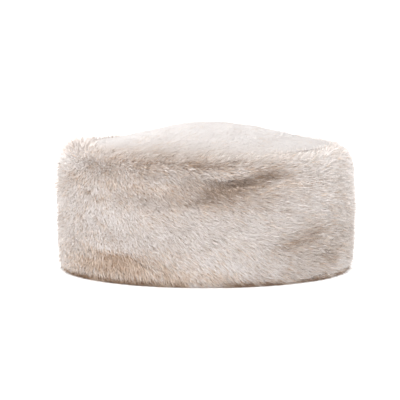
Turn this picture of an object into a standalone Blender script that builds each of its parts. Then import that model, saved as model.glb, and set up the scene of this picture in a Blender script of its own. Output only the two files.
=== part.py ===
# A soft pillbox hat of short fur: a side band turned over the shoulder, and a domed crown sewn inside it.
# The hat stands on its bottom edge at z = 0. X runs along the head from back to front, Y across it.
# Angles round the hat start at -Y, the side that is seen in front, and grow towards +X.
# The fur lies that way too. Its outer form is a lattice of leaning locks, fused to the pelt that carries it.

import math

import bmesh
import bpy
import numpy as np

# The hollow for the head, of a 58 cm hat
HEAD_LENGTH = 0.200
HEAD_WIDTH = 0.168

# The wall: pelt inside, pile outside
PELT_THICKNESS = 0.0015
BAND_PILE = 0.0210
CROWN_PILE = 0.0145

# The side band, from its bottom edge over the shoulder to the seam
BAND_HEIGHT = 0.1050
BAND_BULGE = 0.0015
HEM_INSET = 0.0060
HEM_CURL = 0.0150
SHOULDER_DROP = 0.0260
SHOULDER_SQUARENESS = 2.5
SEAM_INSIDE = 0.0035
SEAM_CLEARANCE = 0.0003
INNER_ROUND = 0.0140

# The crown inside the seam
CROWN_RISE = 0.0155
CROWN_FULLNESS = 1.4
CEILING_RISE = 0.0140
CEILING_FLAT_LENGTH = 0.0600
CEILING_FLAT_WIDTH = 0.0500

# The locks of fur: a lock is a diamond of the lattice with its tip pulled out and along the lay
LOCK_LENGTH = 0.0180
LOCK_WIDTH = 0.0090
LOCK_LIFT = 0.0014
LOCK_SINK = 0.0012
LOCK_REACH = 0.0050
LOCK_DROOP = 0.0012
LOCK_JITTER = 0.40
LOCK_STRAY = 0.22
LOCK_SEED = 7
EDGE_ROWS = 4  # lattice steps over which the locks grow from a flat edge

# Loops of the plain inside of the band
INNER_WALL_LOOPS = 3
INNER_ROUND_LOOPS = 4

# Soft folds of the band, pressed into the pile. Angles in degrees, heights and depths as shares of the
# band's height and of its pile. The ends of a fold rise above its middle by end_rise.
BAND_FOLDS = (
    dict(middle=8, half_width=48, height=0.80, end_rise=0.12, above=0.060, below=0.110, depth=0.32),
    dict(middle=-50, half_width=16, height=0.60, end_rise=0.00, above=0.280, below=0.300, depth=0.09),
    dict(middle=50, half_width=24, height=0.36, end_rise=0.06, above=0.110, below=0.110, depth=0.10),
)

# Soft hollows of the top, over crown and shoulder alike. Places and radius as shares of the hat's half
# length and half width, depth as a share of the crown's rise.
TOP_HOLLOWS = (
    dict(x=-0.46, y=0.46, radius=0.30, depth=0.24),
    dict(x=-0.50, y=-0.05, radius=0.26, depth=0.18),
    dict(x=0.74, y=0.36, radius=0.40, depth=0.10),
)

FUR_COLOUR = (0.72, 0.64, 0.58, 1.0)
CROWN_COLOUR = (0.84, 0.78, 0.74, 1.0)
FUR_ROUGHNESS = 0.85
SMOOTH_UP_TO = math.radians(20)  # facets that meet at less than this are shaded as one round face

NORMAL_STEP = 0.0005  # step for measuring how the skin slopes
FOLD_CUT = 3.0  # softness lengths past which a fold has faded out


def even_count(length, step):
    """The even number of steps that fits best, at least four."""
    return 2 * max(2, round(length / step / 2))


def quarter_length(width, height, squareness=2.0):
    """Length of a quarter of a rounded square with these half axes. Squareness 2 makes it an oval."""
    turn = np.linspace(0, math.pi / 2, 65)
    across = width * np.cos(turn) ** (2 / squareness)
    upward = height * np.sin(turn) ** (2 / squareness)
    return float(np.hypot(np.diff(across), np.diff(upward)).sum())


def oval(angle, half_length, half_width, height):
    """A point on a level oval, at an angle from -Y towards +X."""
    return np.array((half_length * math.sin(angle), -half_width * math.cos(angle), height))


def unit(vector):
    return vector / np.linalg.norm(vector)


WALL = PELT_THICKNESS + BAND_PILE
HEAD_HALF_LENGTH = HEAD_LENGTH / 2
HEAD_HALF_WIDTH = HEAD_WIDTH / 2
OUTER_HALF_LENGTH = HEAD_HALF_LENGTH + WALL
OUTER_HALF_WIDTH = HEAD_HALF_WIDTH + WALL
SEAM_HALF_LENGTH = HEAD_HALF_LENGTH - SEAM_INSIDE
SEAM_HALF_WIDTH = HEAD_HALF_WIDTH - SEAM_INSIDE
SHOULDER_INSET = WALL + SEAM_INSIDE - BAND_BULGE
CEILING_HEIGHT = BAND_HEIGHT - PELT_THICKNESS - CROWN_PILE

HEM_RUN = quarter_length(HEM_INSET, HEM_CURL)
SIDE_RUN = BAND_HEIGHT - HEM_CURL - SHOULDER_DROP
SHOULDER_RUN = quarter_length(SHOULDER_INSET, SHOULDER_DROP, SHOULDER_SQUARENESS)
BAND_RUN = HEM_RUN + SIDE_RUN + SHOULDER_RUN

ROUND_LENGTH = 4 * quarter_length(OUTER_HALF_LENGTH, OUTER_HALF_WIDTH)
BAND_COLUMNS = even_count(ROUND_LENGTH, LOCK_LENGTH / 2)
BAND_ROWS = even_count(BAND_RUN, LOCK_WIDTH / 2)

# The band's edge at the seam is a polygon, so the crown clears the middle of its sides
SEAM_SAGITTA = SEAM_HALF_LENGTH * (1 - math.cos(2 * math.pi / BAND_COLUMNS))
CROWN_HALF_LENGTH = SEAM_HALF_LENGTH - SEAM_CLEARANCE - SEAM_SAGITTA
CROWN_HALF_WIDTH = SEAM_HALF_WIDTH - SEAM_CLEARANCE - SEAM_SAGITTA
CROWN_COLUMNS = even_count(2 * CROWN_HALF_LENGTH, LOCK_LENGTH / 2)
CROWN_ROWS = even_count(2 * CROWN_HALF_WIDTH, LOCK_WIDTH / 2)


def band_section(run):
    """(inset from the outer oval, height) at a length along the skin from the bottom edge."""
    if run < HEM_RUN:
        turn = math.pi / 2 * max(run, 0) / HEM_RUN
        return BAND_BULGE + HEM_INSET * (1 - math.sin(turn)), HEM_CURL * (1 - math.cos(turn))
    up_side = run - HEM_RUN
    if up_side < SIDE_RUN:
        return BAND_BULGE * (1 - math.sin(math.pi * up_side / SIDE_RUN)), HEM_CURL + up_side
    turn = math.pi / 2 * min((up_side - SIDE_RUN) / SHOULDER_RUN, 1)
    power = 2 / SHOULDER_SQUARENESS
    inset = BAND_BULGE + SHOULDER_INSET * (1 - max(math.cos(turn), 0) ** power)
    return inset, BAND_HEIGHT - SHOULDER_DROP * (1 - math.sin(turn) ** power)


def top_sag(point):
    """How far the hollows of the top let this point down. It fades out below the shoulder."""
    share_x, share_y = point[0] / OUTER_HALF_LENGTH, point[1] / OUTER_HALF_WIDTH
    sag = 0.0
    for hollow in TOP_HOLLOWS:
        away = ((share_x - hollow["x"]) ** 2 + (share_y - hollow["y"]) ** 2) / hollow["radius"] ** 2
        sag += hollow["depth"] * CROWN_RISE * math.exp(-away)
    up_shoulder = 1 - (BAND_HEIGHT - point[2]) / SHOULDER_DROP
    return sag * min(max(up_shoulder, 0), 1) ** 2


def fold_depth(angle, height):
    """How far the folds press the pile in here."""
    depth = 0.0
    for fold in BAND_FOLDS:
        away = (math.degrees(angle) - fold["middle"] + 180) % 360 - 180
        share = abs(away) / fold["half_width"]
        if share >= 1:
            continue
        line = fold["height"] + fold["end_rise"] * share**2
        offset = height / BAND_HEIGHT - line
        soft = fold["above"] if offset > 0 else fold["below"]
        if abs(offset) < FOLD_CUT * soft:
            across = math.cos(math.pi / 2 * share) ** 2
            depth += fold["depth"] * BAND_PILE * across * math.exp(-((offset / soft) ** 2))
    return depth


def band_skin(angle, run):
    """(point, outward direction) of the band's outer form at an angle and a length from the bottom edge."""

    def plain(at_angle, at_run):
        inset, height = band_section(at_run)
        return oval(at_angle, OUTER_HALF_LENGTH - inset, OUTER_HALF_WIDTH - inset, height)

    turn = NORMAL_STEP / OUTER_HALF_LENGTH
    low, high = max(run - NORMAL_STEP, 0), min(run + NORMAL_STEP, BAND_RUN)
    along = plain(angle + turn, run) - plain(angle - turn, run)
    upward = plain(angle, high) - plain(angle, low)
    outward = unit(np.cross(along, upward))
    point = plain(angle, run)
    down = np.array((0, 0, top_sag(point)))
    return point - fold_depth(angle, point[2]) * outward - down, outward


def disc(across, deep):
    """A place in the unit disc for a place in the square from -1 to 1."""
    return across * math.sqrt(1 - deep**2 / 2), deep * math.sqrt(1 - across**2 / 2)


def crown_height(x, y):
    """Height of the crown's outer form over a point of its plan."""
    share_x, share_y = x / CROWN_HALF_LENGTH, y / CROWN_HALF_WIDTH
    inside = max(1 - share_x**2 - share_y**2, 0)
    height = BAND_HEIGHT + CROWN_RISE * inside**CROWN_FULLNESS
    return height - top_sag((x, y, height))


def crown_skin(across, deep):
    """(point, outward direction) of the crown's outer form at a place in the square."""
    share_x, share_y = disc(across, deep)
    x, y = share_x * CROWN_HALF_LENGTH, share_y * CROWN_HALF_WIDTH
    slope_x = (crown_height(x + NORMAL_STEP, y) - crown_height(x - NORMAL_STEP, y)) / (2 * NORMAL_STEP)
    slope_y = (crown_height(x, y + NORMAL_STEP) - crown_height(x, y - NORMAL_STEP)) / (2 * NORMAL_STEP)
    return np.array((x, y, crown_height(x, y))), unit(np.array((-slope_x, -slope_y, 1.0)))


def add_lock(mesh, corners, tip):
    """A lock stands on the corners of its diamond and ends in its tip. Without a tip the cell stays flat."""
    if tip is None:
        mesh.faces.new(corners)
        return
    tip_vertex = mesh.verts.new(tip)
    for here, there in zip(corners, corners[1:] + corners[:1]):
        mesh.faces.new((here, there, tip_vertex))


def bridge(mesh, first, second):
    """Joins two closed loops of as many vertices each."""
    for k in range(len(first)):
        after = (k + 1) % len(first)
        mesh.faces.new((first[k], first[after], second[after], second[k]))


def closed_loop(mesh, points):
    return [mesh.verts.new(point) for point in points]


def place_node(name, mesh, colour):
    """Makes the object, smooth where it is round, with a fur material of its own."""
    bmesh.ops.recalc_face_normals(mesh, faces=mesh.faces)
    data = bpy.data.meshes.new(name)
    mesh.to_mesh(data)
    mesh.free()
    data.shade_smooth()
    data.set_sharp_from_angle(angle=SMOOTH_UP_TO)
    material = bpy.data.materials.new(name)
    material.use_nodes = True
    shader = material.node_tree.nodes["Principled BSDF"]
    shader.inputs["Base Color"].default_value = colour
    shader.inputs["Roughness"].default_value = FUR_ROUGHNESS
    shader.inputs["Metallic"].default_value = 0.0
    data.materials.append(material)
    placed = bpy.data.objects.new(name, data)
    bpy.context.scene.collection.objects.link(placed)
    return placed


def band_locks(mesh, spread):
    """The band's outer form. Returns its bottom and top loops, every second lattice column."""
    step_angle = 2 * math.pi / BAND_COLUMNS
    step_run = BAND_RUN / BAND_ROWS
    nodes = {}
    for row in range(BAND_ROWS + 1):
        for column in range(row % 2, BAND_COLUMNS, 2):
            inner = 0 < row < BAND_ROWS
            stray_on, stray_up = LOCK_STRAY * inner * (2 * spread.random(2) - 1)
            angle, run = (column + stray_on) * step_angle, (row + stray_up) * step_run
            point, outward = band_skin(angle, run)
            sink = LOCK_SINK if row else 0
            nodes[column, row] = mesh.verts.new(point - sink * outward)
    for row in range(BAND_ROWS + 1):
        for column in range(1 - row % 2, BAND_COLUMNS, 2):
            around = ((column - 1, row), (column, row - 1), (column + 1, row), (column, row + 1))
            corners = [nodes[i % BAND_COLUMNS, j] for i, j in around if 0 <= j <= BAND_ROWS]
            if len(corners) < 4:
                add_lock(mesh, corners, None)
                continue
            more, further, lower = 1 + LOCK_JITTER * (2 * spread.random(3) - 1)
            fade = min(1, (BAND_ROWS - row) / EDGE_ROWS, row / EDGE_ROWS)
            reach = LOCK_REACH * further / OUTER_HALF_LENGTH
            run = row * step_run - LOCK_DROOP * lower * fade
            point, outward = band_skin(column * step_angle + reach, run)
            add_lock(mesh, corners, point + LOCK_LIFT * more * min(1, 2 * fade) * outward)
    bottom = [nodes[column, 0] for column in range(0, BAND_COLUMNS, 2)]
    top = [nodes[column, BAND_ROWS] for column in range(0, BAND_COLUMNS, 2)]
    return bottom, top


def inner_sections():
    """(half length, half width, height) of the loops down the inside of the band, from the seam."""
    for k in range(INNER_ROUND_LOOPS + 1):
        turn = math.pi / 2 * k / INNER_ROUND_LOOPS
        inside = SEAM_INSIDE * (1 - math.sin(turn))
        height = CEILING_HEIGHT - INNER_ROUND * (1 - math.cos(turn))
        yield HEAD_HALF_LENGTH - inside, HEAD_HALF_WIDTH - inside, height
    wall_top = CEILING_HEIGHT - INNER_ROUND
    for k in range(1, INNER_WALL_LOOPS + 1):
        yield HEAD_HALF_LENGTH, HEAD_HALF_WIDTH, wall_top * (1 - k / INNER_WALL_LOOPS)


def make_side_band(spread):
    """The wall of the hat: locks outside, plain pelt inside, a flat edge below and the seam above."""
    mesh = bmesh.new()
    bottom, last = band_locks(mesh, spread)
    angles = [4 * math.pi * k / BAND_COLUMNS for k in range(BAND_COLUMNS // 2)]
    for half_length, half_width, height in inner_sections():
        loop = closed_loop(mesh, [oval(a, half_length, half_width, height) for a in angles])
        bridge(mesh, last, loop)
        last = loop
    bridge(mesh, last, bottom)
    return place_node("side_band", mesh, FUR_COLOUR)


def crown_locks(mesh, spread):
    """The crown's outer form on a square lattice drawn into the oval. Returns its edge loop."""
    nodes = {}

    def place(column, row):
        return 2 * column / CROWN_COLUMNS - 1, 2 * row / CROWN_ROWS - 1

    for row in range(CROWN_ROWS + 1):
        for column in range(row % 2, CROWN_COLUMNS + 1, 2):
            inner = 0 < row < CROWN_ROWS and 0 < column < CROWN_COLUMNS
            stray_on, stray_up = LOCK_STRAY * inner * (2 * spread.random(2) - 1)
            point, outward = crown_skin(*place(column + stray_on, row + stray_up))
            way_in = outward if inner else np.array((0, 0, 1.0))
            nodes[column, row] = mesh.verts.new(point - LOCK_SINK * way_in)
    for row in range(CROWN_ROWS + 1):
        for column in range(1 - row % 2, CROWN_COLUMNS + 1, 2):
            around = ((column - 1, row), (column, row - 1), (column + 1, row), (column, row + 1))
            corners = [nodes[place_in] for place_in in around if place_in in nodes]
            if len(corners) < 4:
                add_lock(mesh, corners, None)
                continue
            more, further = 1 + LOCK_JITTER * (2 * spread.random(2) - 1)
            fade = min(1, (CROWN_COLUMNS - 1 - column) / EDGE_ROWS)
            across, deep = place(column, row)
            reach = LOCK_REACH * further * fade / CROWN_HALF_LENGTH
            point, outward = crown_skin(across + reach, deep)
            add_lock(mesh, corners, point + LOCK_LIFT * more * outward)
    front = [(i, 0) for i in range(0, CROWN_COLUMNS, 2)]
    right = [(CROWN_COLUMNS, j) for j in range(0, CROWN_ROWS, 2)]
    back = [(i, CROWN_ROWS) for i in range(CROWN_COLUMNS, 0, -2)]
    left = [(0, j) for j in range(CROWN_ROWS, 0, -2)]
    return [nodes[place_in] for place_in in front + right + back + left]


def make_crown(spread):
    """The domed top: locks above, a plain pelt ceiling below that is flat in the middle."""
    mesh = bmesh.new()
    edge = crown_locks(mesh, spread)
    flat_height = CEILING_HEIGHT + CEILING_RISE
    flat, rim = [], []
    for vertex in edge:
        share_x, share_y = vertex.co.x / CROWN_HALF_LENGTH, vertex.co.y / CROWN_HALF_WIDTH
        flat.append((share_x * CEILING_FLAT_LENGTH / 2, share_y * CEILING_FLAT_WIDTH / 2, flat_height))
        rim.append((vertex.co.x, vertex.co.y, CEILING_HEIGHT))
    flat_loop, rim_loop = closed_loop(mesh, flat), closed_loop(mesh, rim)
    mesh.faces.new(list(reversed(flat_loop)))
    bridge(mesh, flat_loop, rim_loop)
    bridge(mesh, rim_loop, edge)
    return place_node("crown", mesh, CROWN_COLOUR)


def clear_scene():
    for existing in list(bpy.data.objects):
        bpy.data.objects.remove(existing)


def main():
    clear_scene()
    spread = np.random.default_rng(LOCK_SEED)
    make_side_band(spread)
    make_crown(spread)


main()
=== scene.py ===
import math

import bpy
import numpy as np
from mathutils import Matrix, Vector


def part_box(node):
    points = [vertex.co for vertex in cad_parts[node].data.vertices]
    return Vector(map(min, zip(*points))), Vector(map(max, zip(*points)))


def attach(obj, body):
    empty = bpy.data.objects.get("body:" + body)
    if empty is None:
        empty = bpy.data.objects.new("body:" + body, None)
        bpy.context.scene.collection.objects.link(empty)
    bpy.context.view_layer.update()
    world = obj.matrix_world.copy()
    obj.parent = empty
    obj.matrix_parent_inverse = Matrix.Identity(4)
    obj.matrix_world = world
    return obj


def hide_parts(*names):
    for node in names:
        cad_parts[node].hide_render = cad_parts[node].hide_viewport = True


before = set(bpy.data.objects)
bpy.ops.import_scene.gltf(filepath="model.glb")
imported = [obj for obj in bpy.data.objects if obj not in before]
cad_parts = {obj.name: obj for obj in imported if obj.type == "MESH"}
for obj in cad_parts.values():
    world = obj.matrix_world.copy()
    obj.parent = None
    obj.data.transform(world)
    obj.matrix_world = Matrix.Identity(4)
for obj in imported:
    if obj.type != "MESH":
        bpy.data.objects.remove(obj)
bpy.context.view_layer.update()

# A soft pillbox hat of short fur. Angles round it start at -Y, the side seen in front, and grow towards +X.
# The fur lies that way too. Lengths are in metres. The skin is the outer face of the fur, as in the solids.

# The form of the hat, the same as in the solids
hat = dict(
    pelt=0.0015, bandPile=0.0210, crownPile=0.0145, lockTip=0.0018,
    bulge=0.0015, hemInset=0.0060, hemCurl=0.0150,
    shoulderDrop=0.0260, shoulderSquare=2.5, seamInside=0.0035, seamSlack=0.0006, innerRound=0.0140,
    crownRise=0.0155, crownFull=1.4, ceilingRise=0.0140, ceilingFlat=(0.0300, 0.0250),
)

# The folds of the band: angles in degrees, heights as shares of the band's height, depths of its pile
bandFolds = (
    dict(middle=8, halfWidth=48, height=0.80, endRise=0.12, above=0.060, below=0.110, depth=0.32),
    dict(middle=-50, halfWidth=16, height=0.60, endRise=0.00, above=0.280, below=0.300, depth=0.09),
    dict(middle=50, halfWidth=24, height=0.36, endRise=0.06, above=0.110, below=0.110, depth=0.10),
)

# The hollows of the top: places and radius as shares of the hat's half sizes, depth of the crown's rise
topHollows = (
    dict(x=-0.46, y=0.46, radius=0.30, depth=0.24),
    dict(x=-0.50, y=-0.05, radius=0.26, depth=0.18),
    dict(x=0.74, y=0.36, radius=0.40, depth=0.10),
)

# One seed for each soft field and each kind of choice. A coat adds its number to the seed of its fur
seeds = dict(
    bandRipple=3, crownRipple=5, bandHair=11, bandTurn=21, bandLean=22, mottle=24, warmth=25, footBrown=26,
    footTurn=27, cells=31, gapShades=33, shadowTicks=34, crownTurn=41, crownLean=42, crownHair=51,
)
step = 0.0005  # slopes are taken over this length to both sides

bandLow, bandHigh = (np.array(corner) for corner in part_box("side_band"))
crownLow, crownHigh = (np.array(corner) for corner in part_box("crown"))
outerHalf = (bandHigh - bandLow)[:2] / 2 - hat["lockTip"]
wall = hat["pelt"] + hat["bandPile"]
headHalf = outerHalf - wall
seamHalf = headHalf - hat["seamInside"]
crownHalf = seamHalf - hat["seamSlack"]
ceilingHeight = crownLow[2]
bandHeight = ceilingHeight + hat["pelt"] + hat["crownPile"]
shoulderInset = wall + hat["seamInside"] - hat["bulge"]
print("sizes worked out: outer half", outerHalf.round(4), "band height", round(float(bandHeight), 4))


def quarterLength(width, height, square=2.0):
    # length of (width cos^(2/n) t, height sin^(2/n) t) for t from 0 to a quarter turn
    turn = np.linspace(0, math.pi / 2, 65)
    across = width * np.cos(turn).clip(0) ** (2 / square)
    upward = height * np.sin(turn).clip(0) ** (2 / square)
    return float(np.hypot(np.diff(across), np.diff(upward)).sum())


hemRun = quarterLength(hat["hemInset"], hat["hemCurl"])
sideRun = bandHeight - hat["hemCurl"] - hat["shoulderDrop"]
shoulderRun = quarterLength(shoulderInset, hat["shoulderDrop"], hat["shoulderSquare"])
bandRun = hemRun + sideRun + shoulderRun
ovalLength = 4 * quarterLength(*outerHalf)


def units(vectors):
    # each row divided by its length
    return vectors / np.maximum(np.linalg.norm(vectors, axis=1, keepdims=True), 1e-12)


def bandSection(run):
    # (inset, height) along the skin: a quarter oval, a side bowed by a sine, a quarter of a squarish oval
    run = np.clip(run, 0, bandRun)
    hemTurn = math.pi / 2 * np.clip(run / hemRun, 0, 1)
    upSide = np.clip((run - hemRun) / sideRun, 0, 1)
    topTurn = math.pi / 2 * np.clip((run - hemRun - sideRun) / shoulderRun, 0, 1)
    power = 2 / hat["shoulderSquare"]
    inset = hat["bulge"] + hat["hemInset"] * (1 - np.sin(hemTurn)) - hat["bulge"] * np.sin(math.pi * upSide)
    inset = inset + shoulderInset * (1 - np.cos(topTurn).clip(0) ** power)
    height = hat["hemCurl"] * (1 - np.cos(hemTurn)) + sideRun * upSide
    return inset, height + hat["shoulderDrop"] * np.sin(topTurn) ** power


def foldDepth(angle, height):
    # cos^2 across the fold times a bell over the height from its line, a parabola in angle. The bell ends at
    # three times its reach
    depth = np.zeros_like(height)
    for fold in bandFolds:
        away = (np.degrees(angle) - fold["middle"] + 180) % 360 - 180
        share = np.clip(np.abs(away) / fold["halfWidth"], 0, 1)
        offset = height / bandHeight - fold["height"] - fold["endRise"] * share**2
        soft = np.where(offset > 0, fold["above"], fold["below"])
        over = np.where(np.abs(offset) < 3 * soft, np.exp(-((offset / soft) ** 2)), 0)
        depth += fold["depth"] * hat["bandPile"] * np.cos(math.pi / 2 * share) ** 2 * over
    return depth


def topSag(points):
    # a sum of round bells over the plan, fading with the square of the way up the shoulder
    plan = points[:, :2] / outerHalf
    sag = np.zeros(len(points))
    for hollow in topHollows:
        away = (plan[:, 0] - hollow["x"]) ** 2 + (plan[:, 1] - hollow["y"]) ** 2
        sag += hollow["depth"] * hat["crownRise"] * np.exp(-away / hollow["radius"] ** 2)
    return sag * np.clip(1 - (bandHeight - points[:, 2]) / hat["shoulderDrop"], 0, 1) ** 2


def bandSkin(angle, run):
    # the outer oval less the section's inset, let down by the hollows and pressed in along its normal by the
    # folds; slopes by central differences
    def plain(atAngle, atRun):
        # the skin without hollows and folds
        inset, height = bandSection(atRun)
        x = (outerHalf[0] - inset) * np.sin(atAngle)
        y = -(outerHalf[1] - inset) * np.cos(atAngle)
        return np.stack([x, y, height], 1)

    turn = step / outerHalf[0]
    along = units(plain(angle + turn, run) - plain(angle - turn, run))
    upward = units(plain(angle, np.minimum(run + step, bandRun)) - plain(angle, np.maximum(run - step, 0)))
    outward = units(np.cross(along, upward))
    points = plain(angle, run)
    points[:, 2] -= topSag(points)
    points -= foldDepth(angle, points[:, 2])[:, None] * outward
    return points, outward, along, upward


def crownSkin(plan):
    # a dome (1 - rho^2)^p over the seam's oval, let down by the hollows; slopes by central differences
    def height(at):
        # the height of the dome less the hollows
        inside = np.clip(1 - ((at / crownHalf) ** 2).sum(1), 0, None)
        top = bandHeight + hat["crownRise"] * inside ** hat["crownFull"]
        return top - topSag(np.column_stack([at, top]))

    slopeX = (height(plan + (step, 0)) - height(plan - (step, 0))) / (2 * step)
    slopeY = (height(plan + (0, step)) - height(plan - (0, step))) / (2 * step)
    outward = units(np.column_stack([-slopeX, -slopeY, np.ones(len(plan))]))
    points = np.column_stack([plan, height(plan)])
    along = units(np.column_stack([np.ones(len(plan)), np.zeros(len(plan)), slopeX]))
    return points, outward, along, units(np.cross(outward, along))


def waves(seed, places, size, count=14, lengths=(0.7, 1.6), peak=1.6):
    # a soft field of about -1 to 1: sines in random directions, each about size long, over their usual peak
    draw = np.random.default_rng(seed)
    total = np.zeros(len(places))
    for _ in range(count):
        way = draw.normal(size=places.shape[1])
        way *= 2 * math.pi / (size * draw.uniform(*lengths) * np.linalg.norm(way))
        total += np.sin(places @ way + draw.uniform(0, 2 * math.pi))
    return total / math.sqrt(count / 2) / peak


def arcAngles(share):
    # the angles at these shares of the outer oval's length, from a running sum of short steps
    fine = np.linspace(0, 2 * math.pi, 4001)
    length = np.hypot(outerHalf[0] * np.cos(fine), outerHalf[1] * np.sin(fine))
    total = np.concatenate([[0], np.cumsum((length[1:] + length[:-1]) / 2)])
    return np.interp(share, total / total[-1], fine)


def onRound(angle):
    # (sin, -cos): the place in the plan on a circle of radius 1
    return np.stack([np.sin(angle), -np.cos(angle)], 1)


def levelRow(plan, height):
    # points over the plan, all at one height
    return np.column_stack([plan, np.full(len(plan), height)])


def makeMesh(name, points, faces, corners=None):
    # a smooth mesh of faces that all have equally many corners, with a place in the map for each point
    mesh = bpy.data.meshes.new(name)
    mesh.vertices.add(len(points))
    mesh.vertices.foreach_set("co", np.ascontiguousarray(points, np.float32).ravel())
    sides = faces.shape[1]
    mesh.loops.add(faces.size)
    mesh.loops.foreach_set("vertex_index", np.ascontiguousarray(faces, np.int32).ravel())
    mesh.polygons.add(len(faces))
    mesh.polygons.foreach_set("loop_start", np.arange(0, faces.size, sides, dtype=np.int32))
    mesh.polygons.foreach_set("loop_total", np.full(len(faces), sides, dtype=np.int32))
    mesh.update(calc_edges=True)
    if corners is not None:
        layer = mesh.uv_layers.new(name="OFBake")
        layer.uv.foreach_set("vector", np.ascontiguousarray(corners[faces.ravel()], np.float32).ravel())
    mesh.polygons.foreach_set("use_smooth", np.ones(len(faces), bool))
    piece = bpy.data.objects.new(name, mesh)
    bpy.context.scene.collection.objects.link(piece)
    return piece


def dress(piece, material, node):
    # its material, the body that it rides on, and the node that it replaces
    piece.data.materials.append(material)
    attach(piece, "root")
    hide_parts(node)


# Fur colors at the root, the middle and the tip. A strand's map holds its tone in u, from dark to pale. In v
# it holds the way from root to tip: places are those of plain strands, and warm ones lie warmFrom higher.
furLook = dict(
    dark=((0.120, 0.078, 0.052), (0.380, 0.290, 0.228), (0.640, 0.555, 0.495)),
    pale=((0.600, 0.500, 0.440), (0.830, 0.772, 0.745), (0.935, 0.910, 0.902)),
    warmDark=((0.150, 0.078, 0.042), (0.420, 0.268, 0.170), (0.680, 0.515, 0.390)),
    warmPale=((0.480, 0.335, 0.240), (0.780, 0.645, 0.540), (0.900, 0.815, 0.740)),
    places=(0.03, 0.25, 0.47), warmFrom=0.5,
    rough=0.65, sheen=0.12, sheenRough=0.5, specular=0.15,
)


def newMaterial(name, color):
    # a plain material of one color
    material = bpy.data.materials.new(name)
    material.use_nodes = True
    material.diffuse_color = (*color, 1)
    shader = material.node_tree.nodes["Principled BSDF"]
    shader.inputs["Base Color"].default_value = (*color, 1)
    return material, material.node_tree, shader


def ramp(tree, factor, stops):
    # straight lines between colors at places from 0 to 1
    node = tree.nodes.new("ShaderNodeValToRGB")
    elements = node.color_ramp.elements
    while len(elements) < len(stops):
        elements.new(0.5)
    for element, (place, color) in zip(elements, stops):
        element.position = place
        element.color = (*color, 1)
    tree.links.new(factor, node.inputs["Fac"])
    return node.outputs["Color"]


def mixColors(tree, factor, first, second):
    # first where the factor is 0, second where it is 1
    node = tree.nodes.new("ShaderNodeMix")
    node.data_type = "RGBA"
    tree.links.new(factor, node.inputs["Factor"])
    tree.links.new(first, node.inputs["A"])
    tree.links.new(second, node.inputs["B"])
    return node.outputs["Result"]


def noise(tree, scale, detail, stretch=(1, 1, 1)):
    # soft noise from 0 to 1 over the piece's own coordinates, scale to the metre
    place = tree.nodes.new("ShaderNodeTexCoord")
    mapping = tree.nodes.new("ShaderNodeMapping")
    mapping.inputs["Scale"].default_value = stretch
    tree.links.new(place.outputs["Object"], mapping.inputs["Vector"])
    node = tree.nodes.new("ShaderNodeTexNoise")
    node.inputs["Scale"].default_value = scale
    node.inputs["Detail"].default_value = detail
    tree.links.new(mapping.outputs["Vector"], node.inputs["Vector"])
    return node.outputs["Fac"]


def bump(tree, shader, height, strength, distance):
    # shading as if the surface rose by height times distance
    node = tree.nodes.new("ShaderNodeBump")
    node.inputs["Strength"].default_value = strength
    node.inputs["Distance"].default_value = distance
    tree.links.new(height, node.inputs["Height"])
    tree.links.new(node.outputs["Normal"], shader.inputs["Normal"])


def furMaterial(look):
    # two ramps from root to tip, one of dark and one of pale fur, mixed by the tone
    material, tree, shader = newMaterial("cream fur", look["pale"][1])
    uv = tree.nodes.new("ShaderNodeUVMap")
    uv.uv_map = "OFBake"
    split = tree.nodes.new("ShaderNodeSeparateXYZ")
    tree.links.new(uv.outputs["UV"], split.inputs["Vector"])
    tone, way = split.outputs["X"], split.outputs["Y"]
    plainPlaces = look["places"]
    warmPlaces = [place + look["warmFrom"] for place in plainPlaces]

    def bothRamps(plain, warm):
        # one ramp with the plain strands' colors low and the warm strands' above them
        return ramp(tree, way, list(zip(plainPlaces, plain)) + list(zip(warmPlaces, warm)))

    dark, pale = bothRamps(look["dark"], look["warmDark"]), bothRamps(look["pale"], look["warmPale"])
    tree.links.new(mixColors(tree, tone, dark, pale), shader.inputs["Base Color"])
    shader.inputs["Roughness"].default_value = look["rough"]
    shader.inputs["Specular IOR Level"].default_value = look["specular"]
    shader.inputs["Sheen Weight"].default_value = look["sheen"]
    shader.inputs["Sheen Roughness"].default_value = look["sheenRough"]
    return material


suedeLook = dict(
    places=(0.30, 0.52, 0.72), colors=((0.50, 0.42, 0.34), (0.62, 0.54, 0.45), (0.71, 0.63, 0.54)),
    mottle=(38, 5), nap=(900, 3), napStrength=0.35, napDepth=0.0004, rough=0.9, sheen=0.2, specular=0.15,
)
woolLook = dict(
    places=(0.32, 0.55, 0.75), streak=(800, 4, (1.0, 1.0, 0.6)), strength=0.8, depth=0.0012,
    rough=0.95, specular=0.1,
    band=((0.32, 0.235, 0.175), (0.52, 0.415, 0.340), (0.68, 0.580, 0.505)),
    crown=((0.58, 0.490, 0.425), (0.72, 0.640, 0.585), (0.82, 0.755, 0.710)),
)


def peltMaterial(look):
    # the flesh side of the pelt: pale suede, mottled by noise, with a fine nap
    material, tree, shader = newMaterial("pelt suede", look["colors"][1])
    stops = tuple(zip(look["places"], look["colors"]))
    tree.links.new(ramp(tree, noise(tree, *look["mottle"]), stops), shader.inputs["Base Color"])
    shader.inputs["Roughness"].default_value = look["rough"]
    shader.inputs["Specular IOR Level"].default_value = look["specular"]
    shader.inputs["Sheen Weight"].default_value = look["sheen"]
    bump(tree, shader, noise(tree, *look["nap"]), look["napStrength"], look["napDepth"])
    return material


def underfurMaterial(name, look, colors):
    # the dense wool under the hairs, colored and raised by the same fine streaks of noise
    material, tree, shader = newMaterial(name, colors[1])
    streak = noise(tree, *look["streak"])
    tree.links.new(ramp(tree, streak, tuple(zip(look["places"], colors))), shader.inputs["Base Color"])
    shader.inputs["Roughness"].default_value = look["rough"]
    shader.inputs["Specular IOR Level"].default_value = look["specular"]
    bump(tree, shader, streak, look["strength"], look["depth"])
    return material


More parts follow.
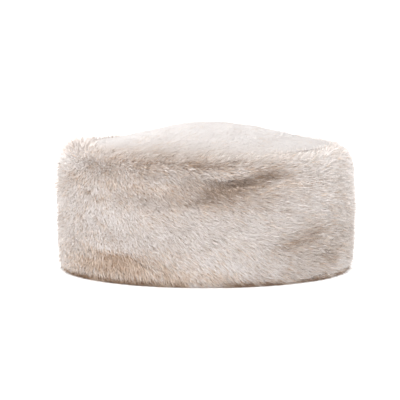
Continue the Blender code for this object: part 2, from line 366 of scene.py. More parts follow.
furCoat = furMaterial(furLook)
peltSuede = peltMaterial(suedeLook)
bandWool = underfurMaterial("band underfur", woolLook, woolLook["band"])
crownWool = underfurMaterial("crown underfur", woolLook, woolLook["crown"])
print("materials made")


def ringFaces(rows, columns):
    # quads of a closed grid: both parameters come round
    i, j = np.meshgrid(np.arange(rows), np.arange(columns), indexing="ij")
    here, right = i * columns + j, i * columns + (j + 1) % columns
    i = (i + 1) % rows
    return np.stack([here, right, i * columns + (j + 1) % columns, i * columns + j], -1).reshape(-1, 4)


# Depths are from the skin down to the wool, and rise is how far the wool stays above the floor. overPelt is
# how far it covers the top of the wall, and wallShares are the heights of its rows down the inside.
underfur = dict(
    depth=0.0033, crownDepth=0.0021, ripple=0.0005, rippleSize=0.006, rise=0.0014, overPelt=0.0008,
    columns=224, rows=44, turnRows=6, wallShares=(0.66, 0.33, 0.0),
)
peltSheet = dict(edge=0.0005, wallRows=7, turnRows=8)
crownShell = dict(columns=160, rings=30, innermost=0.02, ceilingRings=10, ceilingMiddle=0.3)


def sunkBand(angle, run, depth):
    # the skin moved in by depth. Near the hem the way in is level, so that the foot stays on the surface
    points, outward, along = bandSkin(angle, run)[:3]
    level = np.clip(1 - points[:, 2] / hat["hemCurl"], 0, 1)[:, None]
    flat = units(outward * (1, 1, 0) + 1e-9)
    growth = units(outward * (1 - level) + flat * level)
    sunk = points - depth[:, None] * growth
    sunk[:, 2] = sunk[:, 2].clip(underfur["rise"])
    return sunk, growth, along


def makeBandUnderfur():
    # outer skin sunk by depth and rippled, then down the inside of the wall: a closed ring of sections
    around = arcAngles(np.arange(underfur["columns"]) / underfur["columns"])
    oval = onRound(around)
    rows = []
    for share in np.linspace(0, 1, underfur["rows"]):
        skin = bandSkin(around, np.full(len(around), share * bandRun))[0]
        ripple = underfur["ripple"] * waves(seeds["bandRipple"], skin, underfur["rippleSize"])
        rows.append(sunkBand(around, np.full(len(around), share * bandRun), underfur["depth"] + ripple)[0])
    middle = hat["pelt"] * 0.5
    for share in np.linspace(0, 1, underfur["turnRows"]):
        turn = math.pi / 2 * share
        half = headHalf + middle - hat["seamInside"] * (1 - math.sin(turn))
        height = ceilingHeight - hat["innerRound"] * (1 - math.cos(turn)) + underfur["overPelt"]
        rows.append(levelRow(oval * half, height))
    for share in underfur["wallShares"]:
        height = max((ceilingHeight - hat["innerRound"]) * share, underfur["rise"])
        rows.append(levelRow(oval * (headHalf + middle), height))
    piece = makeMesh("bandUnderfur", np.concatenate(rows), ringFaces(len(rows), len(around)))
    dress(piece, bandWool, "side_band")


def makeBandPelt():
    # a sheet one pelt thick on the head's oval, turned in at the top to the seam by a quarter oval
    around = arcAngles(np.arange(underfur["columns"]) / underfur["columns"])
    oval = onRound(around)
    wallTop = ceilingHeight - hat["innerRound"]
    edge = peltSheet["edge"]
    inner = [(edge, 0.0), (0.0, edge)]
    inner += [(0.0, share * wallTop) for share in np.linspace(0, 1, peltSheet["wallRows"])[1:]]
    for turn in np.linspace(0, math.pi / 2, peltSheet["turnRows"])[1:]:
        inset = -hat["seamInside"] * (1 - math.cos(turn))
        inner.append((inset, wallTop + hat["innerRound"] * math.sin(turn)))
    outer = [(inset + hat["pelt"], height) for inset, height in inner[:1:-1]]
    outer += [(hat["pelt"], edge), (hat["pelt"] - edge, 0.0)]
    rows = [levelRow(oval * (headHalf + inset), height) for inset, height in outer + inner]
    piece = makeMesh("bandPelt", np.concatenate(rows), ringFaces(len(rows), len(around)))
    dress(piece, peltSuede, "side_band")


def makeCrownShell():
    # the dome sunk by the depth of the hairs, a rim down to the ceiling, and the ceiling, which rises by a
    # sine. A fan closes the middle of each
    columns, rings = crownShell["columns"], crownShell["rings"]
    oval = onRound(2 * math.pi * np.arange(columns) / columns)
    rows = []
    for share in np.linspace(crownShell["innermost"], 1, rings):
        points = crownSkin(oval * crownHalf * share)[0]
        ripple = underfur["ripple"] * waves(seeds["crownRipple"], points, underfur["rippleSize"])
        points[:, 2] -= underfur["crownDepth"] + ripple
        rows.append(points)
    top = crownSkin(np.zeros((1, 2)))[0][0] - (0, 0, underfur["crownDepth"])
    rows.append(levelRow(oval * seamHalf, ceilingHeight))
    flat = np.array(hat["ceilingFlat"])
    for share in np.linspace(0, 1, crownShell["ceilingRings"])[1:]:
        half = crownHalf + (flat - crownHalf) * share
        height = ceilingHeight + hat["ceilingRise"] * math.sin(math.pi / 2 * share)
        rows.append(levelRow(oval * half, height))
    highest = ceilingHeight + hat["ceilingRise"]
    rows.append(levelRow(oval * flat * crownShell["ceilingMiddle"], highest))
    count, grid = len(rows), np.concatenate(rows)
    points = np.concatenate([grid, [top], [[0, 0, highest]]])
    i, j = np.meshgrid(np.arange(count - 1), np.arange(columns), indexing="ij")
    here, right = i * columns + j, i * columns + (j + 1) % columns
    quads = np.stack([here, here + columns, right + columns, right], -1).reshape(-1, 4)
    j = np.arange(columns)
    topFan = np.stack([np.full(columns, len(grid)), j, (j + 1) % columns], 1)
    last = (count - 1) * columns
    lowFan = np.stack([np.full(columns, len(grid) + 1), last + (j + 1) % columns, last + j], 1)
    halves = np.concatenate([quads[:, [0, 1, 2]], quads[:, [0, 2, 3]]])
    piece = makeMesh("crownShell", points, np.concatenate([halves, topFan, lowFan]))
    # the rim and the ceiling show the flesh side
    below = quads.mean(1) >= rings * columns
    inside = np.concatenate([below, below, np.zeros(columns, bool), np.ones(columns, bool)])
    dress(piece, crownWool, "crown")
    piece.data.materials.append(peltSuede)
    piece.data.polygons.foreach_set("material_index", inside.astype(np.int32))


makeBandUnderfur()
makeBandPelt()
makeCrownShell()
print("pelt and underfur made")


def patch(degrees, height, wide, high, tone=0.0, warm=0.0, parting=0.0, rise=0.0):
    # a bell over the band: its middle and its reach by degrees round the hat and by share of the height, and
    # its rise for each degree. It adds to the tone (0 is brown, 1 cream), to the share of warm hairs, and to
    # how far the fur parts and shows its roots
    return dict(degrees=degrees, height=height, wide=wide, high=high, tone=tone, warm=warm, parting=parting,
                rise=rise)


# Most rows are the fur's own brown, warm and cream patches. The rows so marked paint shade or light.
bandPatches = (
    # the next five rows: painted shade in and beside the front fold, where the fur also parts, and a paler
    # spot under it
    patch(13, 0.765, 16, 0.062, tone=-0.72, warm=-0.10, parting=0.60, rise=0.0045),
    patch(12, 0.735, 9, 0.036, tone=-0.16, warm=-0.20, parting=0.24, rise=0.0045),
    patch(3, 0.795, 7, 0.035, tone=-0.24, warm=-0.05, parting=0.04),
    patch(-3, 0.690, 8, 0.035, tone=0.26, warm=-0.05, parting=-0.04),
    patch(27, 0.845, 12, 0.045, tone=-0.18, warm=0.04, parting=0.10),
    # painted shade on the front of the shoulder
    patch(-13, 0.890, 20, 0.075, tone=-0.15, warm=0.10, parting=0.05),
    patch(26, 0.900, 9, 0.030, tone=-0.20, warm=0.15, parting=0.10, rise=0.0020),
    # painted shade under the shoulder, left of the front
    patch(-30, 0.840, 20, 0.120, tone=-0.08, warm=0.10),
    patch(-48, 0.895, 7.5, 0.014, tone=0.04, warm=0.30, parting=0.04, rise=0.0107),
    patch(-62, 0.780, 6, 0.050, tone=-0.12, warm=0.40),
    patch(-52, 0.670, 2.4, 0.014, tone=-0.45, warm=0.40, parting=0.35),
    patch(-44.5, 0.622, 4.5, 0.018, tone=-0.36, warm=0.35, parting=0.28, rise=0.0060),
    patch(-44.5, 0.455, 4.5, 0.012, tone=-0.20, warm=0.35, parting=0.20, rise=-0.0077),
    patch(-56.5, 0.480, 2.6, 0.013, tone=-0.22, warm=0.35, parting=0.18, rise=-0.0040),
    patch(-48, 0.235, 9, 0.030, tone=-0.04, warm=0.50, parting=0.03, rise=-0.0040),
    patch(-35, 0.200, 8, 0.040, tone=-0.20, warm=0.55, parting=0.10),
    patch(-39, 0.115, 27, 0.090, tone=0.10, warm=1.00),
    patch(-3, 0.040, 18, 0.060, tone=0.26, warm=0.50),
    # painted light: paler fur low in front, for light thrown up from the floor
    patch(0, 0.075, 60, 0.060, tone=0.14),
    # the next three rows: painted shade in the low fold on the right, where the fur also parts
    patch(41, 0.340, 15, 0.090, tone=-0.42, warm=0.10, parting=0.06, rise=0.0060),
    patch(49, 0.395, 6, 0.035, tone=-0.08, warm=0.10, parting=0.06, rise=0.0060),
    patch(36, 0.315, 6, 0.035, tone=-0.16, warm=0.10, parting=0.08, rise=0.0060),
    # painted shade on the front of the shoulder
    patch(18, 0.965, 14, 0.050, tone=-0.26),
    patch(24.5, 0.590, 1.6, 0.012, tone=-0.35, warm=0.10, parting=0.30),
    patch(33, 0.565, 3.5, 0.012, tone=-0.22, warm=0.05, parting=0.20),
    patch(68, 0.660, 8, 0.180, tone=-0.18),
    patch(54, 0.200, 14, 0.120, tone=-0.38, warm=0.05, parting=0.02, rise=0.0040),
    # the next three rows: painted shade on the front of the shoulder
    patch(-38, 0.960, 16, 0.030, tone=-0.20, warm=0.05, parting=0.02),
    patch(-12, 0.955, 20, 0.035, tone=-0.28, parting=0.02),
    patch(1, 0.935, 8, 0.040, tone=-0.34, parting=0.04),
    patch(-58, 0.800, 14, 0.110, tone=-0.12),
    patch(58, 0.740, 20, 0.160, tone=0.08, warm=-0.04),
    # the next two rows: painted shade on the front of the shoulder and at the right end of the front fold
    patch(3, 0.910, 9, 0.035, tone=-0.24, parting=0.02),
    patch(30, 0.835, 7, 0.030, tone=-0.28, warm=0.05, parting=0.04),
    patch(60, 0.130, 4, 0.050, tone=-0.20, warm=0.05),
    patch(36, 0.070, 7, 0.040, tone=-0.25, warm=0.05, parting=0.02),
    patch(-41, 0.252, 9, 0.045, tone=0.24, warm=-0.30),
    patch(78, 0.280, 14, 0.220, tone=-0.24),
    patch(-74, 0.930, 20, 0.070, tone=0.26, warm=-0.05),
    patch(4, 0.400, 24, 0.120, tone=0.10, warm=-0.15),
    # painted shade under the front fold
    patch(2, 0.665, 27, 0.080, tone=-0.42, parting=0.06),
    patch(-38, 0.500, 15, 0.110, tone=0.24, warm=-0.14),
    patch(-48, 0.550, 26, 0.330, tone=0.12),
    patch(56, 0.900, 18, 0.120, tone=0.02, warm=-0.05),
    # painted light: paler fur low in front, for light thrown up from the floor
    patch(8, 0.150, 22, 0.100, tone=0.30),
    patch(-74, 0.500, 22, 0.300, tone=-0.14),
    patch(94, 0.450, 16, 0.600, tone=0.14, warm=-0.12),
    patch(-94, 0.450, 16, 0.600, tone=0.14, warm=-0.12),
    patch(118, 0.240, 18, 0.090, tone=-0.18, warm=0.40, parting=0.05, rise=0.003),
    patch(158, 0.640, 20, 0.080, tone=-0.16, warm=0.10, parting=0.10, rise=-0.002),
    patch(-142, 0.380, 16, 0.100, tone=-0.16, warm=0.25, parting=0.10, rise=0.004),
    patch(-112, 0.740, 12, 0.050, tone=-0.14, warm=0.15, parting=0.10, rise=0.003),
)

# The look that the patches add to. edge paints shade, a darker line at the height edgeAt. From topFrom on
# the way in to the seam the band takes the crown's look, less a painted shade of seamShade around seamMiddle.
bandBase = dict(
    tone=0.68, warm=0.10, edge=-0.10, edgeAt=0.98, edgeReach=0.06, mostParting=0.8,
    topFrom=0.04, topOver=0.16, seamShade=0.32, seamMiddle=48, seamReach=30,
)
# The crown's rim is painted in shade of rim: backShare of it all round, the rest towards the angle shadeAt.
crownBase = dict(
    tone=0.91, warm=0.03, soft=1.1, rim=-0.66, rimFrom=0.35, backShare=0.10, shadeAt=-22, shadePower=3,
)

# Tables by angle round the hat, in degrees. How far the band's fur droops from lying level, in degrees:
layDroops = (
    (-180, 10), (-110, 18), (-90, 26), (-62, 22), (-40, 20), (-18, 30), (5, 28), (28, 8), (50, 6), (90, 8),
    (180, 10),
)
# how pale the roots are along the seam (0 is as in the down, 2 as pale as the tips):
rimSofts = (
    (-180, 0.6), (-110, 0.6), (-75, 1.1), (-45, 0.7), (-25, 0.3), (20, 0.4), (45, 1.1), (65, 1.1), (90, 0.6),
    (180, 0.6),
)
# and how much of the brown of the roots shows along the foot:
footShares = (
    (-180, 0.8), (-62, 1.2), (-45, 1.1), (-34, 0.7), (-20, 1.1), (-12, 1.0), (-6, 0.2), (5, 0.1), (10, 0.8),
    (15, 1.4), (27, 1.3), (36, 0.5), (50, 0.9), (70, 0.9), (180, 0.8),
)

# Each coat from the wool out: dense down of straight spikes, longer guard hairs bent along the lay, and a
# few stray hairs that stand off and soften the outline. The hem's hairs cover the curl of the foot, and the
# foot's the flat ring under the wall. Spacing is the mean way from root to root.
bandFur = dict(
    down=dict(spacing=0.00078, length=0.0072, width=0.00060, lean=0.86, bend=0.0),
    guard=dict(spacing=0.00200, length=0.0094, width=0.00042, lean=0.90, bend=0.26, toneSpread=0.30),
    stray=dict(spacing=0.00220, length=0.0090, width=0.00044, lean=0.62, bend=0.20),
    hem=dict(spacing=0.00080, length=0.0064, width=0.00064, lean=0.85, bend=0.0, pull=0.55, uneven=0.28),
    foot=dict(spacing=0.00125, length=0.0068, width=0.00080, lean=1.36, bend=0.0),
    sunk=0.0011, dimple=0.0010, hemReach=0.28,
    lengthSpread=0.14, widthSpread=0.25, leanSpread=0.10, turnSpread=11, clump=0.0020, pull=0.24,
    # the last three numbers here paint shade: darker clumps, and single dark hairs for shadow holes between
    # tufts
    clumpTone=0.05, toneSpread=0.11, speckle=1.8, gapShades=0.50, shadowTicks=0.26, shadowSpecks=0.14,
    mottle=0.06, mottleSize=0.020,
)
crownFur = dict(
    down=dict(spacing=0.00088, length=0.0074, width=0.00072, lean=1.20, bend=0.0),
    guard=dict(spacing=0.00240, length=0.0082, width=0.00034, lean=1.20, bend=0.08),
    stray=dict(spacing=0.00520, length=0.0072, width=0.00028, lean=1.12, bend=0.10),
    sunk=0.0006,
    lengthSpread=0.08, widthSpread=0.15, leanSpread=0.03, turnSpread=4, clump=0.0020, pull=0.0,
    clumpTone=0.0, toneSpread=0.02, speckle=0.0, gapShades=0.0, shadowTicks=0.0, shadowSpecks=0.0,
    mottle=0.03, mottleSize=0.024,
)

# How the fur is combed: turns in degrees from lying level, leans in radians from standing up. A middle and a
# reach are a bell's, in degrees round the hat.
bandComb = dict(
    lowBelow=0.45, lowTurn=24, lowMiddle=0, lowReach=45,
    foldTurn=75, foldOver=20, foldLeast=-0.3,
    seamFrom=0.80, seamOver=0.20, seamTurn=50, seamLean=0.20,
    waveTurn=13, waveSize=0.030, calmTurn=6, calmMiddle=-52, calmReach=26,
    rightLean=0.12, rightMiddle=62, rightReach=40,
    leftLean=0.12, leftShort=0.05, leftMiddle=-90, leftReach=20,
    waveLean=0.08, waveLeanSize=0.022, footShort=0.55, footOver=0.012,
)
crownComb = dict(
    rim=0.995, outFrom=0.85, outOver=0.15, out=0.45,
    waveTurn=10, waveSize=0.040, waveLean=0.05, waveLeanSize=0.025,
)
footComb = dict(rise=0.0017, turn=-50, waveTurn=16, waveSize=0.020)

# The fringe of stray hairs at the left end, which stand off most along the rim; heights are shares
fringe = dict(
    middle=-92, reach=34, least=0.30, middleHeight=0.50, over=0.25, rimFrom=0.84, rimOver=0.10,
    elsewhere=0.08, longer=0.30, rimLonger=0.18, lean=0.26, rimLean=0.22,
)

# The brown that shows along the foot, and the softness of the roots, which is most at the left end
footBrown = dict(
    height=0.0023, roots=0.62, tone=0.42, patchy=0.45, patchSize=0.012, most=1.4, leastReach=0.12,
)
softness = dict(
    least=0.30, left=1.30, leftMiddle=-84, leftReach=34, atFoot=0.2, parting=2.5, rimFrom=0.90, rimOver=0.08,
    tone=0.02,
)

# What all hairs share: how far lengths and widths may stray, how much of the clump's pull reaches the middle
# and the tip, and from where the painted shade of gaps, ticks and specks shows. No hair lies along aside,
# which helps to find the directions across it.
hairs = dict(
    lengths=(0.5, 1.5), widths=(0.4, 1.8), cellJitter=0.35, middlePull=0.5, tipPull=0.7,
    softCalm=0.5, gapsFrom=0.1, leastReach=0.10, ticksFrom=0.25, specksBelow=0.80, tickReach=0.25,
    tickTone=0.30, warmWave=0.10, warmWaveSize=0.018, tones=(0.02, 0.98), aside=(0.31, 0.17, 0.93),
)
clumpCells = 4096  # how many different cells the clumps are drawn for
cellSteps = (73, 179)  # numbers that spread the cells' columns and rows over them
lowestHair = 0.0002  # no hair reaches lower than this above the floor
mostFaces = 190000  # a coat with more triangles than this is split into several pieces


def degreesRound(angle):
    # degrees from -180 to 180
    return (np.degrees(angle) + 180) % 360 - 180


def bell(degrees, middle, reach):
    # e to the minus square of the way from the middle, in reaches
    return np.exp(-(((degrees - middle) / reach) ** 2))


def byAngle(table, degrees):
    # straight lines between the rows of a table
    return np.interp(degrees, *np.array(table).T)


def jitteredGrid(width, height, spacing, draw):
    # one place for each cell of a grid, anywhere in its cell
    columns, rows = max(1, round(width / spacing)), max(1, round(height / spacing))
    i, j = (grid.ravel() for grid in np.meshgrid(np.arange(rows), np.arange(columns), indexing="ij"))
    stray = draw.uniform(0, 1, (2, len(i)))
    return np.column_stack([(j + stray[0]) / columns * width, (i + stray[1]) / rows * height])


def rimShadedTone(angle):
    # the crown's tone at its rim, darkened by painted shade, most in front and to the left by a power of the
    # cosine
    front = np.cos(angle - math.radians(crownBase["shadeAt"])).clip(0) ** crownBase["shadePower"]
    share = crownBase["backShare"] + (1 - crownBase["backShare"]) * front
    return crownBase["tone"] + crownBase["rim"] * share


def topShare(inset):
    # how far the band's look has gone over to the crown's, by the way in as a share of the half sizes
    return np.clip((inset - bandBase["topFrom"]) / bandBase["topOver"], 0, 1)


def bandLook(angle, height, inset):
    # base values plus the bells of the patches, going over to the crown's look on the way in to the seam
    tone, warm, parting = (np.full(len(angle), start) for start in (bandBase["tone"], bandBase["warm"], 0.0))
    for spot in bandPatches:
        away = degreesRound(angle - math.radians(spot["degrees"]))
        over = (height - spot["height"] - spot["rise"] * away) / spot["high"]
        share = np.exp(-((away / spot["wide"]) ** 2) - over**2)
        tone += spot["tone"] * share
        warm += spot["warm"] * share
        parting += spot["parting"] * share
    tone += bandBase["edge"] * np.exp(-(((height - bandBase["edgeAt"]) / bandBase["edgeReach"]) ** 2))
    shade = bandBase["seamShade"] * bell(degreesRound(angle), bandBase["seamMiddle"], bandBase["seamReach"])
    tone += (rimShadedTone(angle) - shade - tone) * topShare(inset)
    warm += (crownBase["warm"] - warm) * topShare(inset)
    return tone, warm, parting.clip(0, bandBase["mostParting"])


def fringeShare(degrees, height):
    # a bell round the left end, times a straight rise with the height
    rise = fringe["least"] + (height - fringe["middleHeight"]) / fringe["over"]
    return bell(degrees, fringe["middle"], fringe["reach"]) * np.clip(rise, fringe["least"], 1)


def bandRoots(coatName, draw):
    # roots over the unrolled band, or over its foot for the hem, thinned where its oval gets shorter. The
    # lay droops by the table, follows the folds and turns in over the seam
    comb = bandComb
    reach = bandFur["hemReach"] * hemRun if coatName == "hem" else bandRun
    places = jitteredGrid(ovalLength, reach, bandFur[coatName]["spacing"], draw)
    inset = bandSection(places[:, 1])[0]
    kept = draw.uniform(0, 1, len(places)) < 1 - inset / outerHalf.mean()
    if coatName == "stray":
        share = fringeShare(degreesRound(arcAngles(places[:, 0] / ovalLength)), places[:, 1] / bandRun)
        kept &= draw.uniform(0, 1, len(places)) < fringe["elsewhere"] + (1 - fringe["elsewhere"]) * share
    places = places[kept]
    angle, run = arcAngles(places[:, 0] / ovalLength), places[:, 1]
    skin = bandSkin(angle, run)[0]
    degrees, height = degreesRound(angle), skin[:, 2] / bandHeight
    dimple = bandFur["dimple"] * bandLook(angle, height, np.zeros(len(angle)))[2]
    sunk, growth, along = sunkBand(angle, run, underfur["depth"] + bandFur["sunk"] + dimple)
    upward = units(np.cross(growth, along))

    turn = byAngle(layDroops, degrees)
    low = np.clip(comb["lowBelow"] - height, 0, 1) / comb["lowBelow"]
    turn += comb["lowTurn"] * low * bell(degrees, comb["lowMiddle"], comb["lowReach"])
    pressed = comb["foldTurn"] * foldDepth(angle, skin[:, 2]) / hat["bandPile"]
    turn -= pressed * np.clip(degrees / comb["foldOver"], comb["foldLeast"], 1)
    nearSeam = np.clip((run / bandRun - comb["seamFrom"]) / comb["seamOver"], 0, 1)
    turn = turn * (1 - nearSeam) - comb["seamTurn"] * nearSeam**2
    calm = comb["calmTurn"] * bell(degrees, comb["calmMiddle"], comb["calmReach"])
    turn += (comb["waveTurn"] - calm) * waves(seeds["bandTurn"], skin, comb["waveSize"])

    leftEnd = bell(degrees, comb["leftMiddle"], comb["leftReach"])
    lean = comb["rightLean"] * bell(degrees, comb["rightMiddle"], comb["rightReach"])
    lean = lean + comb["leftLean"] * leftEnd
    lean = lean + comb["waveLean"] * waves(seeds["bandLean"], skin, comb["waveLeanSize"])
    lean = lean + comb["seamLean"] * nearSeam
    short = np.ones(len(run))
    if coatName != "hem":
        short = np.clip(comb["footShort"] + skin[:, 2] / comb["footOver"], comb["footShort"], 1)
    short = short * (1 - comb["leftShort"] * leftEnd)
    if coatName == "stray":
        share = fringeShare(degrees, height)
        atRim = share * np.clip((height - fringe["rimFrom"]) / fringe["rimOver"], 0, 1)
        short = short * (1 + fringe["longer"] * share + fringe["rimLonger"] * atRim)
        lean -= fringe["lean"] * share + fringe["rimLean"] * atRim
    return dict(places=places, sunk=sunk, skin=skin, outward=growth, along=along, upward=upward, turn=turn,
                lean=lean, short=short)


def footRoots(coatName, draw):
    # roots over the flat ring under the wall, in the plane z = rise, with the hairs combed out and round it
    inner, outer = headHalf + hat["pelt"], outerHalf - hat["hemInset"] - underfur["depth"]
    width = float((outer - inner).mean())
    places = jitteredGrid(ovalLength, width, bandFur[coatName]["spacing"], draw)
    angle, share = arcAngles(places[:, 0] / ovalLength), places[:, 1:] / width
    level = np.zeros(len(angle))
    plan = onRound(angle)
    half = inner + (outer - inner) * share
    sunk = levelRow(plan * half, footComb["rise"])
    out = units(np.column_stack([plan / outerHalf, level]))
    down = np.tile([0.0, 0.0, -1.0], (len(angle), 1))
    along = units(np.column_stack([np.cos(angle) * outerHalf[0], np.sin(angle) * outerHalf[1], level]))
    turn = footComb["turn"] + footComb["waveTurn"] * waves(seeds["footTurn"], sunk, footComb["waveSize"])
    return dict(places=places, sunk=sunk, skin=sunk, outward=down, along=along, upward=out, turn=turn,
                lean=0.0, short=1.0)


def crownRoots(coatName, draw):
    # roots over the plan of the crown, inside its oval
    comb = crownComb
    places = jitteredGrid(2 * crownHalf[0], 2 * crownHalf[1], crownFur[coatName]["spacing"], draw)
    plan = places - crownHalf
    kept = ((plan / crownHalf) ** 2).sum(1) < comb["rim"]
    places, plan = places[kept], plan[kept]
    skin, outward, along, upward = crownSkin(plan)
    sunk = skin - (0, 0, underfur["crownDepth"] + crownFur["sunk"])
    # near the rim the lay turns from +X towards the way out
    rho, bearing = np.linalg.norm(plan / crownHalf, axis=1), np.arctan2(plan[:, 1], plan[:, 0])
    share = comb["out"] * np.clip((rho - comb["outFrom"]) / comb["outOver"], 0, 1)
    spread = -np.degrees(np.arctan2(share * np.sin(bearing), 1 - share + share * np.cos(bearing)))
    turn = spread + comb["waveTurn"] * waves(seeds["crownTurn"], skin, comb["waveSize"])
    lean = comb["waveLean"] * waves(seeds["crownLean"], skin, comb["waveLeanSize"])
    return dict(places=places, sunk=sunk, skin=skin, outward=outward, along=along, upward=upward, turn=turn,
                lean=lean, short=1.0)


def lookOfBand(tips):
    # the band's look where a hair's tip shows
    angle = np.arctan2(tips[:, 0] / outerHalf[0], -tips[:, 1] / outerHalf[1])
    degrees, height = degreesRound(angle), tips[:, 2] / bandHeight
    inset = 1 - np.linalg.norm(tips[:, :2] / outerHalf, axis=1)
    tone, warm, parting = bandLook(angle, height, inset)
    # a hair that ends near the foot or in a parting shows the brown of its root
    patchy = 1 + footBrown["patchy"] * waves(seeds["footBrown"], tips, footBrown["patchSize"])
    foot = np.exp(-((tips[:, 2].clip(0) / footBrown["height"]) ** 2)) * patchy.clip(0, footBrown["most"])
    foot *= byAngle(footShares, degrees)
    reach = (1 - footBrown["roots"] * foot - parting).clip(footBrown["leastReach"], 1)
    # the fur at the left end is soft, with pale roots, less so low down. Along the seam it goes by its table
    left = softness["left"] * bell(degrees, softness["leftMiddle"], softness["leftReach"])
    soft = softness["least"] + left * np.clip(softness["atFoot"] + height, 0, 1) * (1 - foot.clip(0, 1))
    soft *= (1 - softness["parting"] * parting).clip(0, 1)
    rim = np.maximum(topShare(inset), np.clip((height - softness["rimFrom"]) / softness["rimOver"], 0, 1))
    soft += (byAngle(rimSofts, degrees) - soft) * rim
    tone = tone + softness["tone"] * (soft - softness["least"])
    return tone - footBrown["tone"] * foot, warm + foot, reach, soft


def lookOfCrown(tips):
    # the crown's tone goes over to its rim's painted shade with the square of the way out
    rho = np.linalg.norm(tips[:, :2] / crownHalf, axis=1)
    angle = np.arctan2(tips[:, 0] / crownHalf[0], -tips[:, 1] / crownHalf[1])
    outer = np.clip((rho - crownBase["rimFrom"]) / (1 - crownBase["rimFrom"]), 0, 1) ** 2
    tone = crownBase["tone"] + (rimShadedTone(angle) - crownBase["tone"]) * outer
    even = np.ones(len(tips))
    return tone, crownBase["warm"] * even, even, crownBase["soft"] * even


def clumpWay(places, size):
    # the way from each place to the middle of its own cell of a jittered grid, and the cell's number
    stray = hairs["cellJitter"]
    jitter = np.random.default_rng(seeds["cells"]).uniform(-stray, stray, (clumpCells, 2))
    cell = np.floor(places / size).astype(int)
    key = (cell[:, 0] * cellSteps[0] + cell[:, 1] * cellSteps[1]) % clumpCells
    return (cell + 0.5 + jitter[key]) * size - places, key


def strands(roots, fur, coat, lookOf, draw):
    # middle and tip lie along outward cos(lean) + lay sin(lean), with more lean in the outer half
    count = len(roots["places"])
    turn = np.radians(roots["turn"] + fur["turnSpread"] * draw.normal(size=count))
    lean = coat["lean"] + roots["lean"] + fur["leanSpread"] * draw.normal(size=count)
    uneven = coat.get("uneven", fur["lengthSpread"])
    length = coat["length"] * roots["short"] * (1 + uneven * draw.normal(size=count)).clip(*hairs["lengths"])
    width = coat["width"] * (1 + fur["widthSpread"] * draw.normal(size=count)).clip(*hairs["widths"])
    lay = np.cos(turn)[:, None] * roots["along"] - np.sin(turn)[:, None] * roots["upward"]
    way, key = clumpWay(roots["places"], fur["clump"])
    shift = coat.get("pull", fur["pull"]) * (way[:, :1] * roots["along"] + way[:, 1:] * roots["upward"])
    halves = []
    for tilt in (lean - coat["bend"], lean + coat["bend"]):
        direction = np.cos(tilt)[:, None] * roots["outward"] + np.sin(tilt)[:, None] * lay
        halves.append((length / 2)[:, None] * direction)
    middles = roots["sunk"] + halves[0] + hairs["middlePull"] * shift
    tips = middles + halves[1] + hairs["tipPull"] * shift

    # tone and reach vary from clump to clump and from hair to hair, most in warm fur and least in soft fur
    tone, warmth, reach, soft = lookOf(tips)
    speckle = (1 + fur["speckle"] * warmth.clip(0, 1)) * (1 - hairs["softCalm"] * soft.clip(0, 1))
    clumpToneAndShade = np.random.default_rng(seeds["gapShades"]).normal(size=clumpCells)[key]
    tone = tone + fur["clumpTone"] * speckle * clumpToneAndShade
    # a clump with less reach is darker, a painted shade of the gap between clumps
    reach = reach - fur["gapShades"] * (warmth - hairs["gapsFrom"]).clip(0, 1) * clumpToneAndShade
    reach = reach.clip(hairs["leastReach"], 1)
    # a few single hairs are dark nearly to the tip, painted shadow holes: ticks in warm fur, specks in dark
    # fur
    shadowTicks = fur["shadowTicks"] * (warmth - hairs["ticksFrom"]).clip(0, 1)
    shadowSpecks = fur["shadowSpecks"] * (hairs["specksBelow"] - tone).clip(0, 1)
    shadowHairs = np.random.default_rng(seeds["shadowTicks"]).uniform(0, 1, count) < shadowTicks + shadowSpecks
    reach = np.where(shadowHairs, hairs["tickReach"] * reach, reach)
    tone = np.where(shadowHairs, tone - hairs["tickTone"], tone)
    tone = tone + fur["mottle"] * waves(seeds["mottle"], roots["skin"], fur["mottleSize"])
    tone = tone + coat.get("toneSpread", fur["toneSpread"]) * speckle * draw.normal(size=count)
    warmth = warmth + hairs["warmWave"] * waves(seeds["warmth"], roots["skin"], hairs["warmWaveSize"])
    warm = draw.uniform(0, 1, count) < warmth
    return dict(roots=roots["sunk"], middles=middles, tips=tips, width=width, tone=tone.clip(*hairs["tones"]),
                warm=warm, reach=reach, start=soft * reach)


def strandMesh(name, hair, lot, bent):
    # a spike has three points round its root and a tip; a bent strand a root, three round its middle, a tip.
    # The map goes from root to tip as far as reach says and never below start, so soft fur has pale roots
    roots, middles, tips = (hair[key][lot] for key in ("roots", "middles", "tips"))
    axis = units(tips - roots)
    aside = units(np.cross(axis, hairs["aside"]))
    across, half = np.cross(axis, aside), hair["width"][lot, None] / 2
    turns = 2 * math.pi * np.arange(3) / 3
    ring = [half * (math.cos(turn) * aside + math.sin(turn) * across) for turn in turns]
    if bent:
        points = np.stack([roots] + [middles + place for place in ring] + [tips], 1)
        star = np.array([[0, 2, 1], [0, 3, 2], [0, 1, 3], [1, 2, 4], [2, 3, 4], [3, 1, 4]])
        stages = [0, 1, 1, 1, 2]
    else:
        points = np.stack([roots + place for place in ring] + [tips], 1)
        star = np.array([[0, 2, 1], [0, 1, 3], [1, 2, 3], [2, 0, 3]])
        stages = [0, 0, 0, 2]
    points[..., 2] = points[..., 2].clip(lowestHair)
    count, each = points.shape[:2]
    faces = (np.arange(count)[:, None, None] * each + star).reshape(-1, 3)
    low, middle, high = furLook["places"]
    start = low + (middle - low) * hair["start"][lot, None]
    way = np.maximum(low + (np.array([low, middle, high])[stages] - low) * hair["reach"][lot, None], start)
    corners = np.empty((count, each, 2))
    corners[..., 0] = hair["tone"][lot, None]
    corners[..., 1] = way + furLook["warmFrom"] * hair["warm"][lot, None]
    return makeMesh(name, points.reshape(-1, 3), faces, corners.reshape(-1, 2))


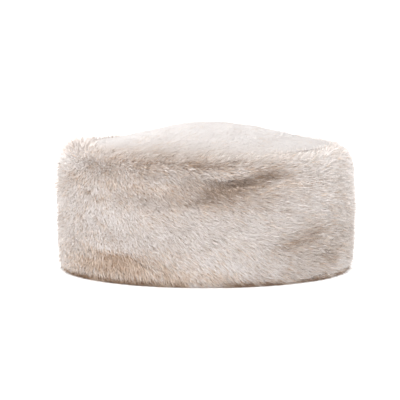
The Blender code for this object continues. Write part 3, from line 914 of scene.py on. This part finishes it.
def growCoats(part, fur, node, rootsOf, lookOf, seed):
    # each coat has its own seed. It is one piece, or an even split into several of at most mostFaces
    # triangles
    total = 0
    for k, coatName in enumerate(name for name in ("down", "guard", "stray", "hem", "foot") if name in fur):
        coat = fur[coatName]
        draw = np.random.default_rng(seed + k)
        roots = footRoots(coatName, draw) if coatName == "foot" else rootsOf(coatName, draw)
        hair = strands(roots, fur, coat, lookOf, draw)
        count, each = len(hair["tone"]), 6 if coat["bend"] else 4
        lots = np.array_split(np.arange(count), math.ceil(count * each / mostFaces))
        for number, lot in enumerate(lots, 1):
            name = f"{part}{coatName.capitalize()}" + (str(number) if len(lots) > 1 else "")
            dress(strandMesh(name, hair, lot, bool(coat["bend"])), furCoat, node)
        print(part, coatName, count, "strands,", count * each, "triangles")
        total += count * each
    return total


grown = growCoats("band", bandFur, "side_band", bandRoots, lookOfBand, seeds["bandHair"])
grown += growCoats("crown", crownFur, "crown", crownRoots, lookOfCrown, seeds["crownHair"])
print("fur grown,", grown, "triangles")


# Floor, light and camera. The offset is in pixels of a picture that many pixels wide.
studio = dict(
    floor=(0.95, 0.95, 0.95), floorHalf=6.0, floorRough=0.9, sky=1.55, exposure=0.24, litPoint=(0, 0, 0.06),
    key=dict(place=(0.1, 0.1, 1.5), size=1.6, power=4.5),
    front=dict(place=(-0.3, -1.6, 0.9), size=1.4, power=15.0),
    elevation=8.0, distance=2.6, sensor=36, pixels=400, perPixel=0.000822, offset=(-6.3, -5.6), farthest=50,
)


def makeFloor():
    # a wide square of matt white paper
    size = studio["floorHalf"]
    points = np.array([[-size, -size, 0], [size, -size, 0], [size, size, 0], [-size, size, 0]], float)
    floor = makeMesh("floor", points, np.array([[0, 1, 2, 3]]))
    material, _, shader = newMaterial("floor paper", studio["floor"])
    shader.inputs["Roughness"].default_value = studio["floorRough"]
    shader.inputs["Specular IOR Level"].default_value = 0.0
    floor.data.materials.append(material)


def addLight(name, light):
    # a round softbox that faces the lit point
    lamp = bpy.data.lights.new(name, "AREA")
    lamp.shape = "DISK"
    lamp.size = light["size"]
    lamp.energy = light["power"]
    holder = bpy.data.objects.new(name, lamp)
    holder.location = light["place"]
    towards = Vector(studio["litPoint"]) - Vector(light["place"])
    holder.rotation_euler = towards.to_track_quat("-Z", "Y").to_euler()
    bpy.context.scene.collection.objects.link(holder)


def makeStudio():
    # white air all round, two softboxes, and plain color management
    world = bpy.data.worlds.new("studio air")
    world.use_nodes = True
    back = world.node_tree.nodes["Background"]
    back.inputs["Color"].default_value = (1, 1, 1, 1)
    back.inputs["Strength"].default_value = studio["sky"]
    bpy.context.scene.world = world
    addLight("top softbox", studio["key"])
    addLight("front softbox", studio["front"])
    view = bpy.context.scene.view_settings
    view.view_transform = "Standard"
    view.look = "None"
    view.exposure = studio["exposure"]
    view.gamma = 1.0


def makeCamera():
    # the lens gives perPixel metres a pixel at the hat, and the offset moves the hat to its place in the
    # frame
    tilt = math.radians(studio["elevation"])
    camera = bpy.data.cameras.new("camera")
    camera.sensor_width = studio["sensor"]
    camera.lens = studio["sensor"] * studio["distance"] / (studio["pixels"] * studio["perPixel"])
    camera.clip_end = studio["farthest"]
    off = Vector((studio["offset"][0], 0, studio["offset"][1])) * studio["perPixel"]
    target = Vector((0, 0, crownHigh[2] / 2)) + off
    holder = bpy.data.objects.new("camera", camera)
    back = Vector((0, -math.cos(tilt), math.sin(tilt)))
    holder.location = target + back * studio["distance"]
    holder.rotation_euler = (-back).to_track_quat("-Z", "Y").to_euler()
    bpy.context.scene.collection.objects.link(holder)
    bpy.context.scene.camera = holder


makeFloor()
makeStudio()
makeCamera()
print("studio set")
